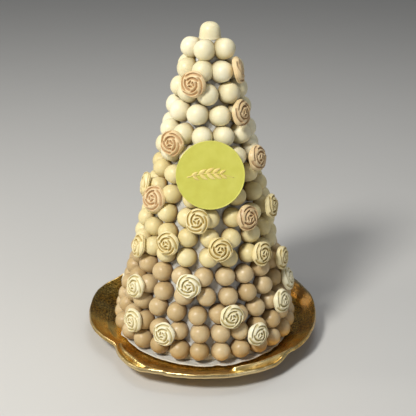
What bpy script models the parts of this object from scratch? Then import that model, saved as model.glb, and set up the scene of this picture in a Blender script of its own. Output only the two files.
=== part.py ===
"""Chocolate pyramid on its dish: moulded chocolate domes in rings round a paper cone, with chocolate
roses and a round plaque, all standing in a four-petalled metal dish.

The origin lies on the table, on the tower's axis, which is within 3 mm of the middle of the dish.
-Y is the front, +X is to the right of someone facing the front, and +Z is up.
Angles round the tower are in degrees from the front, growing towards +X.
"""
import math

import bmesh
import bpy
from mathutils import Matrix, Vector

MM = 0.001
TOUCH_GAP = 0.3 * MM            # clearance between pieces that touch

# Domes and the cone through their centres
DOME_RADIUS = 12.5 * MM         # cream and milk chocolate domes
IVORY_RADIUS = 13.4 * MM        # the white chocolate domes come from a slightly larger mould
DOME_FOOT = 7.0 * MM            # straight foot of a dome, from its widest level back to the cone
WEB_DEPTH = 4.5 * MM            # the dips between domes, measured back from their widest level
BOTTOM_ROW_Z = 32.0 * MM
BOTTOM_ROW_RADIUS = 113.0 * MM
LEAN = math.radians(13.5)       # lean of the tower's side from the vertical
BOTTOM_STEP = 23.4 * MM         # height from the bottom row to the next one
TOP_STEP = 26.2 * MM            # height from the row under the top one to the top one

# Rows of domes from the bottom: how many, and the angle of the first
ROWS = (
    (26, 11), (25, 11), (23, 10), (21, 1), (20, 16), (19, 2), (17, 3), (15, 4),
    (14, 9), (14, 8), (11, 8), (11, 24), (9, 21), (8, 44), (7, 34), (4, -84),
)
TOP_ROW_ANGLES = (-84.0, -18.0, 51.0, 180.0)    # the top row is not evenly spaced
BANDS = (                       # name, first row and last row of each kind of chocolate
    ("milk", 0, 4),
    ("cream", 5, 9),
    ("ivory", 10, 15),
)
DOME_COLOURS = {
    "milk": (0.60, 0.41, 0.23),
    "cream": (0.78, 0.67, 0.33),
    "ivory": (0.84, 0.78, 0.55),
}
BOTTOM_EDGE = 13.4 * MM         # from the bottom row's centres down to the lowest edge of its domes
TOP_EDGE = 11.0 * MM            # from the top row's centres up to the cone's shoulder
INNER_SIDES = 32                # sides of the paper cone and of the domes' inner faces
DIP_SIDES = 14                  # fewest sides of a ring between two rows
FLANK_SHARE = 0.70              # where a dome's facets turn sideways, as a share of its radius
RIDGE_SHARE = 0.62              # and where they turn upwards and downwards

# The upright dome on the tip
TIP_BASE_Z = 414.3 * MM
TIP_HEIGHT = 20.0 * MM
TIP_SIDES = 12

# Paper board and cone
BOARD_TOP_Z = 17.0 * MM
BOARD_THICKNESS = 3.0 * MM
BOARD_RADIUS = 122.0 * MM
BOARD_WAVE = 4.2 * MM
BOARD_SIDES = 42

# Roses: flat backed, lying on the crowns of the domes
ROSE_RADIUS = 15.5 * MM
ROSE_THICKNESS = 10.0 * MM
ROSE_SIDES = 8
ROSE_TURN = 47.0                # each rose is turned this much more than the one before it
ROSE_PROFILE = (                # radius and height of each ring, as shares of the two sizes
    (0.86, 0.0),
    (1.00, 0.42),
    (0.74, 0.74),
    (0.52, 0.62),
    (0.34, 0.96),
)
ROSE_HEART = 0.84               # height of the middle of the bud, as a share of the thickness
ROSES = {                       # height in mm of the place on the tower's side, and angle
    "milk": (
        (378, 47), (364, -23), (350, 155), (327, 43), (320, -150), (300, 148), (289, -43),
        (284, -168), (267, 60), (250, -146), (243, 146), (214, -53), (214, 176), (199, 36),
    ),
    "cream": (
        (224, -73), (208, 134), (200, -7), (199, 72), (190, -133), (180, 150), (167, -30), (166, 11),
        (158, -160), (150, 46), (148, -60), (142, 131), (138, -131), (130, 175), (127, 73),
    ),
    "ivory": (
        (119, -11), (112, 138), (106, -138), (98, -53), (93, 77), (88, 172), (84, -122), (80, 17),
        (77, 59), (64, 122), (60, -165), (55, -49), (54, -24), (52, 148), (50, -119), (51, 34),
    ),
}
ROSE_COLOURS = {
    "milk": (0.55, 0.39, 0.23),
    "cream": (0.74, 0.63, 0.33),
    "ivory": (0.80, 0.74, 0.50),
}

# Round plaque with a raised leaf spray
PLAQUE_RADIUS = 42.7 * MM
PLAQUE_THICKNESS = 5.0 * MM
PLAQUE_EDGE = 0.8 * MM          # small bevel round the edge
PLAQUE_SIDES = 36
PLAQUE_Z = 256.4 * MM
PLAQUE_ANGLE = 3.0
SPRAY_LENGTH = 58.0 * MM
SPRAY_RISE = 5.0 * MM           # bow of the spray's stem
SPRAY_STEM = 0.8 * MM           # half the stem's width
SPRAY_RELIEF = 1.0 * MM
SPRAY_PAIRS = 5
SPRAY_SPACING = 8.6 * MM        # from one pair of leaves to the next
SPRAY_LEAF = 13.0 * MM           # length of the longest leaves
LEAF_OUTLINE = (                # along the stem and out from it, as shares of the leaf's length
    (0.0, 0.0), (0.22, 0.38), (0.62, 0.72), (1.0, 0.86), (0.80, 0.50), (0.45, 0.12),
)

# Dish
DISH_FLOOR_Z = BOARD_TOP_Z - BOARD_THICKNESS - TOUCH_GAP
DISH_WALL = 2.4 * MM
DISH_RIM_WIDTH = 17.0 * MM      # from the crease of the floor out to the lip
DISH_BOW = 0.42                 # share of the rim's height reached at its bow
INNER_BOW_AT = 0.5              # shares of the rim's width, from the crease outwards
OUTER_BOW_AT = 0.6
OUTER_CREASE_AT = 0.08
LIP_BEVEL = 0.6                 # share of the wall
DISH_SEGMENTS = 48
FOOT_RADIUS = 92.0 * MM
FOOT_WIDTH = 7.0 * MM           # under the dish
FOOT_TAPER = 0.36               # half its width at the table, as a share of the width above
FOOT_SIDES = 40
# The lip goes round in four petals that meet in notches: angle and radius in mm
LIP = (
    (-53, 149), (-45, 156), (-36, 162), (-26, 164), (-16, 162), (8, 161), (24, 159), (34, 156),
    (49, 150), (60, 152), (76, 153), (92, 156), (106, 159),
    (118, 158), (135, 163), (160, 163), (190, 164), (215, 163),
    (231, 159), (240, 168), (247, 169), (258, 164), (271, 160), (284, 158), (292, 158), (299, 154), (307, 149),
)
# It is level in front and on the left; the back petal curls up: angle and height in mm
LIP_HEIGHTS = (
    (-53, 28), (84, 28.5), (92, 31), (105, 38), (120, 43), (150, 43), (200, 42), (225, 40),
    (231, 37), (236, 31), (245, 28), (307, 28),
)


def clear_scene():
    for obj in list(bpy.data.objects):
        bpy.data.objects.remove(obj, do_unlink=True)


def make_material(name, colour, roughness, metallic=0.0):
    material = bpy.data.materials.new(name)
    material.use_nodes = True
    shader = material.node_tree.nodes["Principled BSDF"]
    shader.inputs["Base Color"].default_value = (*colour, 1.0)
    shader.inputs["Roughness"].default_value = roughness
    shader.inputs["Metallic"].default_value = metallic
    return material


def add_object(name, bm, material, smooth_angle=35.0):
    bmesh.ops.recalc_face_normals(bm, faces=bm.faces)
    mesh = bpy.data.meshes.new(name)
    bm.to_mesh(mesh)
    bm.free()
    mesh.shade_smooth()
    mesh.set_sharp_from_angle(angle=math.radians(smooth_angle))
    mesh.materials.append(material)
    obj = bpy.data.objects.new(name, mesh)
    bpy.context.scene.collection.objects.link(obj)
    return obj


def row_height(row):
    """Height of a row's dome centres: the steps grow evenly from the bottom to the top."""
    growth = (TOP_STEP - BOTTOM_STEP) / (len(ROWS) - 2)
    return BOTTOM_ROW_Z + row * BOTTOM_STEP + growth * row * (row - 1) / 2


def centre_radius(height):
    """Radius of the cone through the dome centres."""
    return BOTTOM_ROW_RADIUS - (height - BOTTOM_ROW_Z) * math.tan(LEAN)


def side_point(angle, height, outward, along=0.0):
    """Point off the tower's side: outward from the dome centres' cone, along it towards the tip."""
    turn = math.radians(angle)
    radius = centre_radius(height) + outward * math.cos(LEAN) - along * math.sin(LEAN)
    z = height + outward * math.sin(LEAN) + along * math.cos(LEAN)
    return Vector((radius * math.sin(turn), -radius * math.cos(turn), z))


def side_frame(angle, height, outward, spin=0.0):
    """Placement whose +Z points straight off the tower's side and +Y up along it."""
    turn = math.radians(angle)
    across = Vector((math.cos(turn), math.sin(turn), 0.0))
    normal = Vector((math.sin(turn) * math.cos(LEAN), -math.cos(turn) * math.cos(LEAN), math.sin(LEAN)))
    frame = Matrix((across, normal.cross(across), normal)).transposed().to_4x4()
    frame.translation = side_point(angle, height, outward)
    return frame @ Matrix.Rotation(math.radians(spin), 4, "Z")


def add_ring(bm, angles, place):
    """Ring of vertices, sorted by angle, as pairs of angle and vertex."""
    ordered = sorted(angle % 360.0 for angle in angles)
    return [(angle, bm.verts.new(place(angle))) for angle in ordered]


def ring_angle(ring, k):
    """Angle of a ring's vertex number k, counting on round the ring past its last one."""
    return ring[k % len(ring)][0] + 360.0 * (k // len(ring))


def zip_rings(bm, lower, upper):
    """Triangles between two closed rings that may have different numbers of vertices."""
    i = 0
    j = 0
    while i < len(lower) or j < len(upper):
        lower_reach = abs(ring_angle(lower, i + 1) - ring_angle(upper, j))
        upper_reach = abs(ring_angle(upper, j + 1) - ring_angle(lower, i))
        a = lower[i % len(lower)][1]
        b = upper[j % len(upper)][1]
        if j >= len(upper) or (i < len(lower) and lower_reach <= upper_reach):
            i += 1
            bm.faces.new((a, lower[i % len(lower)][1], b))
        else:
            j += 1
            bm.faces.new((a, upper[j % len(upper)][1], b))


def even_angles(count, start=0.0):
    return [start + 360.0 * k / count for k in range(count)]


def dome_angles(row):
    return list(TOP_ROW_ANGLES) if row == len(ROWS) - 1 else even_angles(*ROWS[row])


def band_radius(row):
    return IVORY_RADIUS if row >= BANDS[2][1] else DOME_RADIUS


def dome_ring(bm, row, share):
    """Ring through a row's domes, at a share of their radius above or below their middles.

    The middle ring takes each dome's crown and both its flanks; the others only its ridge.
    Between two domes the ring drops to the dip.
    """
    angles = dome_angles(row)
    height = row_height(row)
    radius = band_radius(row)
    crown = radius * math.sqrt(1.0 - share ** 2)
    flank = math.degrees(FLANK_SHARE * radius / (centre_radius(height) + radius))
    bumps = {}
    for angle, following in zip(angles, angles[1:] + [angles[0] + 360.0]):
        bumps[angle % 360.0] = crown
        bumps[0.5 * (angle + following) % 360.0] = -WEB_DEPTH
        if share == 0.0:
            bumps[(angle - flank) % 360.0] = radius * math.sqrt(1.0 - FLANK_SHARE ** 2)
            bumps[(angle + flank) % 360.0] = radius * math.sqrt(1.0 - FLANK_SHARE ** 2)
    return add_ring(bm, bumps, lambda angle: side_point(angle, height, bumps[angle], share * radius))


def plain_ring(bm, row, along, outward, count, start=0.0):
    height = row_height(row)
    return add_ring(bm, even_angles(count, start), lambda angle: side_point(angle, height, outward, along))


def dip_ring(bm, row, along):
    """Ring along the dip above or below a row, with enough sides to stay clear of the cone."""
    count, start = ROWS[row]
    return plain_ring(bm, row, along, -WEB_DEPTH, max(count, DIP_SIDES), start)


def half_step(row):
    """Half the distance along the side from a row to the next one up."""
    return 0.5 * (row_height(row + 1) - row_height(row)) / math.cos(LEAN)


def make_domes(name, first, last, material):
    """One band of chocolate domes as a bumpy collar round the paper cone."""
    bm = bmesh.new()
    half_gap = 0.5 * TOUCH_GAP
    low = -BOTTOM_EDGE if first == 0 else half_gap - half_step(first - 1)
    high = TOP_EDGE if last == len(ROWS) - 1 else half_step(last) - half_gap
    outer_low = dip_ring(bm, first, low)
    rings = [outer_low]
    for row in range(first, last + 1):
        rings += [dome_ring(bm, row, share) for share in (-RIDGE_SHARE, 0.0, RIDGE_SHARE)]
        if row < last:
            rings.append(dip_ring(bm, row, half_step(row)))
    rings.append(dip_ring(bm, last, high))
    rings.append(plain_ring(bm, last, high, -DOME_FOOT, INNER_SIDES))
    rings.append(plain_ring(bm, first, low, -DOME_FOOT, INNER_SIDES))
    for lower, upper in zip(rings, rings[1:]):
        zip_rings(bm, lower, upper)
    zip_rings(bm, rings[-1], outer_low)
    return add_object(name, bm, material, 20.0)


def lathe(name, profile, sides, material, smooth_angle=35.0):
    """Closed turned solid from (radius, height) pairs that run up from the axis and back to it."""
    bm = bmesh.new()
    rings = []
    for radius, height in profile:
        if radius == 0.0:
            rings.append([bm.verts.new((0.0, 0.0, height))] * sides)
            continue
        turns = [math.tau * k / sides for k in range(sides)]
        rings.append([bm.verts.new((radius * math.sin(t), -radius * math.cos(t), height)) for t in turns])
    for lower, upper in zip(rings, rings[1:]):
        for k in range(sides):
            corners = (lower[k], lower[(k + 1) % sides], upper[(k + 1) % sides], upper[k])
            bm.faces.new(list(dict.fromkeys(corners)))
    return add_object(name, bm, material, smooth_angle)


def make_paper_cone(material):
    """The paper-covered cone that the domes are stuck to, from the board to the tip."""
    inward = DOME_FOOT + TOUCH_GAP
    low = BOARD_TOP_Z + TOUCH_GAP
    high = TIP_BASE_Z - TOUCH_GAP
    radii = [centre_radius(z) - inward / math.cos(LEAN) for z in (low, high)]
    profile = ((0.0, low), (radii[0], low), (radii[1], high), (0.0, high))
    return lathe("paper_cone", profile, INNER_SIDES, material)


def make_tip(material):
    """The upright dome on the tip: a short foot, then a hemisphere."""
    waist = TIP_BASE_Z + TIP_HEIGHT - IVORY_RADIUS
    profile = [(0.0, TIP_BASE_Z), (IVORY_RADIUS, TIP_BASE_Z)]
    for rise in (0, 30, 58, 78):
        turn = math.radians(rise)
        profile.append((IVORY_RADIUS * math.cos(turn), waist + IVORY_RADIUS * math.sin(turn)))
    profile.append((0.0, TIP_BASE_Z + TIP_HEIGHT))
    return lathe("tip_chocolate", profile, TIP_SIDES, material)


def board_radius(angle):
    """The board runs a little further out at the front and the back than at the sides."""
    turn = math.radians(angle)
    return BOARD_RADIUS + BOARD_WAVE * math.cos(2 * turn) + 0.25 * BOARD_WAVE * math.sin(7 * turn)


def make_board(material):
    bm = bmesh.new()
    rings = []
    for height in (BOARD_TOP_Z - BOARD_THICKNESS, BOARD_TOP_Z):
        angles = even_angles(BOARD_SIDES)
        rings.append([bm.verts.new(polar(board_radius(angle), angle, height)) for angle in angles])
        bm.faces.new(rings[-1])
    bridge(bm, rings[0], rings[1])
    return add_object("paper_board", bm, material)


def polar(radius, angle, height):
    turn = math.radians(angle)
    return Vector((radius * math.sin(turn), -radius * math.cos(turn), height))


def bridge(bm, lower, upper):
    count = len(lower)
    for k in range(count):
        following = (k + 1) % count
        bm.faces.new((lower[k], lower[following], upper[following], upper[k]))


def make_rose(name, angle, height, spin, material):
    """Moulded rose: petal rings that turn half a petal each, round a bud, on a flat back."""
    bm = bmesh.new()
    rings = []
    for level, (radius, rise) in enumerate(ROSE_PROFILE):
        twist = 180.0 / ROSE_SIDES * level
        ring = []
        for k, turn in enumerate(even_angles(ROSE_SIDES, twist)):
            petal = 1.0 if (k + level) % 2 else 0.91
            ring.append(bm.verts.new(polar(ROSE_RADIUS * radius * petal, turn, ROSE_THICKNESS * rise)))
        rings.append(ring)
    bm.faces.new(rings[0])
    for lower, upper in zip(rings, rings[1:]):
        bridge(bm, lower, upper)
    heart = bm.verts.new((0.0, 0.0, ROSE_THICKNESS * ROSE_HEART))
    for k in range(ROSE_SIDES):
        bm.faces.new((rings[-1][k], rings[-1][(k + 1) % ROSE_SIDES], heart))
    bmesh.ops.transform(bm, matrix=side_frame(angle, height, IVORY_RADIUS + TOUCH_GAP, spin), verts=bm.verts)
    bmesh.ops.triangulate(bm, faces=bm.faces)
    return add_object(name, bm, material, 50.0)


def make_roses(kind, material):
    for number, (height, angle) in enumerate(ROSES[kind], 1):
        make_rose(f"rose_{kind}_{number:02d}", angle, height * MM, number * ROSE_TURN, material)


def make_plaque(material):
    bm = bmesh.new()
    rings = []
    edge = PLAQUE_EDGE
    outer = ((PLAQUE_RADIUS, 0.0), (PLAQUE_RADIUS, PLAQUE_THICKNESS - edge))
    for radius, height in (*outer, (PLAQUE_RADIUS - edge, PLAQUE_THICKNESS)):
        rings.append([bm.verts.new(polar(radius, a, height)) for a in even_angles(PLAQUE_SIDES)])
    bm.faces.new(rings[0])
    bm.faces.new(rings[-1])
    for lower, upper in zip(rings, rings[1:]):
        bridge(bm, lower, upper)
    placement = side_frame(PLAQUE_ANGLE, PLAQUE_Z, IVORY_RADIUS + TOUCH_GAP)
    bmesh.ops.transform(bm, matrix=placement, verts=bm.verts)
    return add_object("plaque", bm, material)


def stem_point(along, out):
    """Point beside the spray's bowed stem, with its place along the stem and out from it."""
    bow = SPRAY_RISE * math.sin(math.pi * along / SPRAY_LENGTH)
    return along - 0.5 * SPRAY_LENGTH, bow - 0.5 * SPRAY_RISE + out


def spray_side(side):
    """One side of the spray's outline: leaves that lean along the stem, longest in the middle."""
    points = [stem_point(0.0, side * SPRAY_STEM)]
    for leaf in range(SPRAY_PAIRS):
        root = SPRAY_SPACING * (leaf + 0.6)
        length = SPRAY_LEAF * (0.62 + 0.38 * math.sin(math.pi * (leaf + 0.5) / SPRAY_PAIRS))
        for along, out in LEAF_OUTLINE:
            points.append(stem_point(root + along * length, side * (SPRAY_STEM + out * length)))
    return points


def fill_spray(bm, left, right, end_leaf):
    """Faces of one level of the spray: a strip along the stem, and a fan over each leaf."""
    size = len(LEAF_OUTLINE)
    last = len(left) - 1
    stem = [0]
    for root in range(1, last, size):
        stem += [root, root + size - 1]
        for side in (left, right):
            for k in range(root + 1, root + size - 1):
                bm.faces.new((side[root], side[k], side[k + 1]))
    for k, following in zip(stem, stem[1:]):
        bm.faces.new((left[k], left[following], right[following], right[k]))
    bm.faces.new((left[last], end_leaf, right[last]))


def make_spray(material):
    """Raised leaf spray on the plaque, cut as one outline from stalk to end leaf."""
    bm = bmesh.new()
    outlines = []
    for height in (0.0, SPRAY_RELIEF):
        left = [bm.verts.new((x, y, height)) for x, y in spray_side(-1.0)]
        right = [bm.verts.new((x, y, height)) for x, y in spray_side(1.0)]
        end_leaf = bm.verts.new((*stem_point(SPRAY_LENGTH, 0.0), height))
        fill_spray(bm, left, right, end_leaf)
        outlines.append([*left, end_leaf, *right[::-1]])
    bridge(bm, *outlines)
    bmesh.ops.triangulate(bm, faces=bm.faces)
    outward = IVORY_RADIUS + TOUCH_GAP + PLAQUE_THICKNESS + TOUCH_GAP
    placement = side_frame(PLAQUE_ANGLE, PLAQUE_Z, outward)
    bmesh.ops.transform(bm, matrix=placement, verts=bm.verts)
    return add_object("plaque_spray", bm, material)


def along_lip(stations, angle):
    """Value part of the way between the two stations that the angle lies between."""
    start = stations[0][0]
    turned = (angle - start) % 360.0 + start
    for (before, low), (after, high) in zip(stations, stations[1:]):
        if before <= turned <= after:
            return MM * (low + (high - low) * (turned - before) / (after - before))
    raise ValueError(f"no stations round {angle}")


def dish_profile(angle):
    """One cut through the dish, from the crease of its floor over the lip and back under."""
    lip = along_lip(LIP, angle)
    rim_z = along_lip(LIP_HEIGHTS, angle)
    crease = lip - DISH_RIM_WIDTH
    under = DISH_FLOOR_Z - DISH_WALL
    half_rim = DISH_FLOOR_Z + DISH_BOW * (rim_z - DISH_FLOOR_Z)
    return (
        (crease, DISH_FLOOR_Z),
        (crease + INNER_BOW_AT * DISH_RIM_WIDTH, half_rim),
        (lip - LIP_BEVEL * DISH_WALL, rim_z),
        (lip, rim_z - (1.0 - LIP_BEVEL) * DISH_WALL),
        (crease + OUTER_BOW_AT * DISH_RIM_WIDTH, half_rim - LIP_BEVEL * DISH_WALL),
        (crease + OUTER_CREASE_AT * DISH_RIM_WIDTH, under),
    )


def make_foot(material):
    """Ring that the dish stands on: a little narrower at the table than under the dish."""
    bm = bmesh.new()
    rings = []
    top = DISH_FLOOR_Z - DISH_WALL - TOUCH_GAP
    for side, height in ((0.5, top), (FOOT_TAPER, 0.0), (-FOOT_TAPER, 0.0), (-0.5, top)):
        radius = FOOT_RADIUS + side * FOOT_WIDTH
        rings.append([bm.verts.new(polar(radius, angle, height)) for angle in even_angles(FOOT_SIDES)])
    for level, ring in enumerate(rings):
        bridge(bm, ring, rings[(level + 1) % len(rings)])
    return add_object("dish_foot", bm, material)


def make_dish(material):
    bm = bmesh.new()
    angles = even_angles(DISH_SEGMENTS)
    columns = []
    for angle in angles:
        columns.append([bm.verts.new(polar(radius, angle, z)) for radius, z in dish_profile(angle)])
    for k, column in enumerate(columns):
        following = columns[(k + 1) % len(columns)]
        for level in range(len(column) - 1):
            bm.faces.new((column[level], following[level], following[level + 1], column[level + 1]))
    for level, height in ((0, DISH_FLOOR_Z), (-1, DISH_FLOOR_Z - DISH_WALL)):
        middle = bm.verts.new((0.0, 0.0, height))
        for k, column in enumerate(columns):
            bm.faces.new((column[level], columns[(k + 1) % len(columns)][level], middle))
    bmesh.ops.triangulate(bm, faces=bm.faces)
    return add_object("dish", bm, material)


def main():
    clear_scene()
    paper = make_material("white_paper", (0.72, 0.70, 0.66), 0.85)
    brass = make_material("aged_brass", (0.22, 0.13, 0.04), 0.38, 1.0)
    make_dish(brass)
    make_foot(brass)
    make_board(paper)
    make_paper_cone(paper)
    for kind, first, last in BANDS:
        make_domes(f"domes_{kind}", first, last, make_material(f"{kind}_chocolate", DOME_COLOURS[kind], 0.45))
        make_roses(kind, make_material(f"{kind}_rose_chocolate", ROSE_COLOURS[kind], 0.5))
    make_tip(bpy.data.materials["ivory_chocolate"])
    make_plaque(make_material("lime_chocolate", (0.62, 0.60, 0.12), 0.4))
    make_spray(make_material("gold_relief", (0.55, 0.42, 0.15), 0.4))


main()
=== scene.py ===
# Chocolate pyramid on its petalled brass dish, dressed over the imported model
from math import atan2, copysign, cos, exp, pi, radians, sin, sqrt, tan, tau

import bmesh
import bpy
import numpy as np
from mathutils import Euler, Matrix, Vector, noise


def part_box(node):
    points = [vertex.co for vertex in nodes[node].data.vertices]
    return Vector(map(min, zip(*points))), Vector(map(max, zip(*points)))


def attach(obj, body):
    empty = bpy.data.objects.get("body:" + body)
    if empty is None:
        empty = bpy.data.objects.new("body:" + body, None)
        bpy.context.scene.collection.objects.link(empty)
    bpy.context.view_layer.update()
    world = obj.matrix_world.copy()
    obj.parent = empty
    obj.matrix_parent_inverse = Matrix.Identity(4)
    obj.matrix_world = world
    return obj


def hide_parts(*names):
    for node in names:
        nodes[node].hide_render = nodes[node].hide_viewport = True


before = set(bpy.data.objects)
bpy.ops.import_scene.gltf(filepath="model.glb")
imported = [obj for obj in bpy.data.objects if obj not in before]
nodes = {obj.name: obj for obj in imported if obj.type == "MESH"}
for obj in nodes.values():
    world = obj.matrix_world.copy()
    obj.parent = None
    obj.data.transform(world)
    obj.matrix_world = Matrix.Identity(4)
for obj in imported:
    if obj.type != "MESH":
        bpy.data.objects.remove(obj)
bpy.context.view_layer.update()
scene = bpy.context.scene
mm = 0.001
seamGap = 0.01 * mm  # vertices nearer than this are one
pieces = {}  # piece: CAD nodes it stands for, slot
print("frame loaded:", len(nodes), "nodes")


def linear(code):  # sRGB hex to linear colour
    parts = [int(code[k:k + 2], 16) / 255 for k in (1, 3, 5)]
    return tuple(c / 12.92 if c <= 0.04045 else ((c + 0.055) / 1.055) ** 2.4 for c in parts) + (1.0,)


def fillNode(tree, node, inputs):  # values or sockets, by name or in order
    for name, given in inputs.items() if isinstance(inputs, dict) else enumerate(inputs):
        if isinstance(given, bpy.types.NodeSocket):
            tree.links.new(given, node.inputs[name])
        else:
            node.inputs[name].default_value = given


def addNode(tree, kind, inputs=(), out=0, **settings):  # gives an output, or the node
    node = tree.nodes.new(kind)
    for name, value in settings.items():
        setattr(node, name, value)
    fillNode(tree, node, inputs)
    return node if out is None else node.outputs[out]


def placeObject(name, data):
    obj = bpy.data.objects.new(name, data)
    scene.collection.objects.link(obj)
    return obj


def startMaterial(name):
    material = bpy.data.materials.new(name)
    material.use_nodes = True
    tree = material.node_tree
    place = addNode(tree, "ShaderNodeTexCoord", out="Object")
    return material, tree, tree.nodes["Principled BSDF"], place


def finishMaterial(tree, shader, look, bumps, inputs):  # each bump lies over the one before
    relief = {}
    for name, height in bumps.items():
        strength, depth = look[name]
        relief["Normal"] = addNode(tree, "ShaderNodeBump", {
            "Height": height, "Strength": strength, "Distance": depth, **relief})
    fillNode(tree, shader, {**inputs, **relief})


def enlist(piece, slot, stoodFor, material=None):
    if material:
        piece.data.materials.append(material)
    pieces[piece] = (stoodFor, slot)


def smoothStep(low, high, x):
    t = np.clip((x - low) / (high - low), 0.0, 1.0)
    return t * t * (3.0 - 2.0 * t)


def plateau(bounds, x):  # up, then down again
    rise, full, fall, end = bounds
    return smoothStep(rise, full, x) * (1 - smoothStep(fall, end, x))


def polar(radius, degrees, z):  # angles run from the front towards +X
    turn = radians(degrees)
    return Vector((radius * sin(turn), -radius * cos(turn), z))


def ringAngles(count, start=0.0):
    return [start + 360.0 * k / count for k in range(count)]


def anglePast(degrees, at):  # -180 to 180
    return (degrees - at + 180.0) % 360.0 - 180.0


def ringNoise(degrees, fineness, layer):  # meets itself all the way round
    turn = radians(degrees)
    return noise.noise(Vector((fineness * sin(turn), fineness * cos(turn), layer)))


def whereIs(name):  # a CAD node's middle and direction
    low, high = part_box(name)
    middle = (low + high) / 2
    return middle, float(np.degrees(atan2(middle.x, -middle.y)))


# stage
stageLook = {
    "floorSize": 14.0,  # metres
    "floorColour": "#cfcecb",
    "floorShade": 0.975,  # of the mottling
    "floorRoughness": 0.85,
    "mottle": 6.0,  # patches to a metre
    "worldColour": "#eef1f5",
    "worldStrength": 0.15,
    # name: place, aim height, size, watts, colour
    "lights": {
        "keySoftbox": ((-1.0, -1.35, 1.8), 0.20, 0.5, 50.0, "#fffdf8"),
        "fillSoftbox": ((1.7, -1.3, 0.9), 0.18, 1.5, 4.6, "#f2f5ff"),
        "topSoftbox": ((0.1, 0.5, 2.1), 0.15, 1.2, 9.0, "#ffffff"),
        "rimSoftbox": ((-1.5, -0.1, 0.62), 0.05, 0.45, 4.0, "#fff6e6"),
    },
}
cameraLook = {
    "place": (0.00175, -1.1705, 0.669),
    "pitchDown": 22.44,
    "roll": 1.17,
    "lens": 82.2,
    "sensor": 36.0,
}


def makeStage():
    look = stageLook
    half = look["floorSize"] / 2
    mesh = bpy.data.meshes.new("studioFloor")
    corners = [(-half, -half, 0), (half, -half, 0), (half, half, 0), (-half, half, 0)]
    mesh.from_pydata(corners, [], [(0, 1, 2, 3)])
    floor = placeObject("studioFloor", mesh)
    # matt paint: no gloss, faint mottling
    material, tree, shader, place = startMaterial("paintedStudioFloor")
    paint = linear(look["floorColour"])
    shade = tuple(c * look["floorShade"] for c in paint[:3]) + (1,)
    mottle = addNode(tree, "ShaderNodeTexNoise",
                     {"Vector": place, "Scale": look["mottle"], "Detail": 4.0}, "Fac")
    colour = addNode(tree, "ShaderNodeMix", {0: mottle, 6: shade, 7: paint}, 2, data_type="RGBA")
    fillNode(tree, shader, {"Base Color": colour, "Roughness": look["floorRoughness"]})
    mesh.materials.append(material)
    for name, (spot, aimZ, size, watts, colour) in look["lights"].items():
        light = bpy.data.lights.new(name, "AREA")
        light.shape, light.size, light.energy = "DISK", size, watts
        light.color = linear(colour)[:3]
        lamp = placeObject(name, light)
        lamp.location = spot
        aim = Vector((0, 0, aimZ)) - Vector(spot)
        lamp.rotation_euler = aim.to_track_quat("-Z", "Y").to_euler()
    world = bpy.data.worlds.new("studioAir")
    world.use_nodes = True
    air = world.node_tree
    fillNode(air, air.nodes["Background"], {0: linear(look["worldColour"]), 1: look["worldStrength"]})
    scene.world = world
    scene.view_settings.view_transform = "Standard"


def makeCamera():
    look = cameraLook
    pitch, roll = radians(look["pitchDown"]), radians(look["roll"])
    right, up = Vector((1, 0, 0)), Vector((0, sin(pitch), cos(pitch)))
    ahead = Vector((0, cos(pitch), -sin(pitch)))
    across = cos(roll) * right + sin(roll) * up
    turn = Matrix((across, (-ahead).cross(across), -ahead)).transposed().to_4x4()
    data = bpy.data.cameras.new("viewCamera")
    data.lens, data.sensor_width = look["lens"], look["sensor"]
    scene.camera = placeObject("viewCamera", data)
    scene.camera.matrix_world = Matrix.Translation(look["place"]) @ turn


makeStage()
makeCamera()
print("stage, lights and camera ready")

# chocolate finishes
chocolateLooks = {
    # body, pale and deep colours, the painted shade colour for relief grooves and dome feet, then how matt
    # the skin is
    "milkCouverture": ("#c8af82", "#d8c49b", "#b39765", "#73502a", 0.36),
    "creamCouverture": ("#e4d5a0", "#ece0b4", "#d8c68e", "#8a6830", 0.38),
    "ivoryCouverture": ("#ece3bf", "#f3edd2", "#e3d8af", "#8c7542", 0.40),
    "milkRoseCouverture": ("#e2c899", "#ebd4aa", "#d9bd8c", "#b99468", 0.42),
    "creamRoseCouverture": ("#eddca6", "#f4e8ba", "#e3d194", "#b2974f", 0.42),
    "ivoryRoseCouverture": ("#f6eecb", "#faf5da", "#efe4b9", "#bbaa6f", 0.42),
    "limeCouverture": ("#cfcc5b", "#d9d66c", "#c3bd4d", "#c3bd4d", 0.42),
    "goldenRelief": ("#f2e093", "#f8eaae", "#e4cc76", "#d8bd66", 0.40),
}
chocolateSkin = {
    "mottle": 17.0 * mm,  # cloudy patches left by tempering
    "scuff": 3.2 * mm,  # dull scuffs from handling
    "pore": 2.6 * mm,  # spacing of tiny bubbles
    "grain": 0.55 * mm,
    "cloudRange": (0.3, 0.7, -0.25, 0.25),  # mottle to a shift in tone
    "castRange": (0.5, 0.25),  # spread of the casts' tones, and the deepest
    "mattRange": (0.3, 0.75, -0.06, 0.14),  # scuffs to a change in roughness
    "poreEdge": (0.06, 0.22),  # of a bubble's slope, in spacings from its middle
    # strength and depth
    "poreBump": (0.35, 0.10 * mm),
    "grainBump": (0.5, 0.035 * mm),
    "scuffBump": (0.6, 0.2 * mm),
    "lightThrough": 0.05,
    "lightReach": (3.0 * mm, 2.2 * mm, 1.1 * mm),
    "refraction": 1.46,  # of cocoa butter
}


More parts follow.
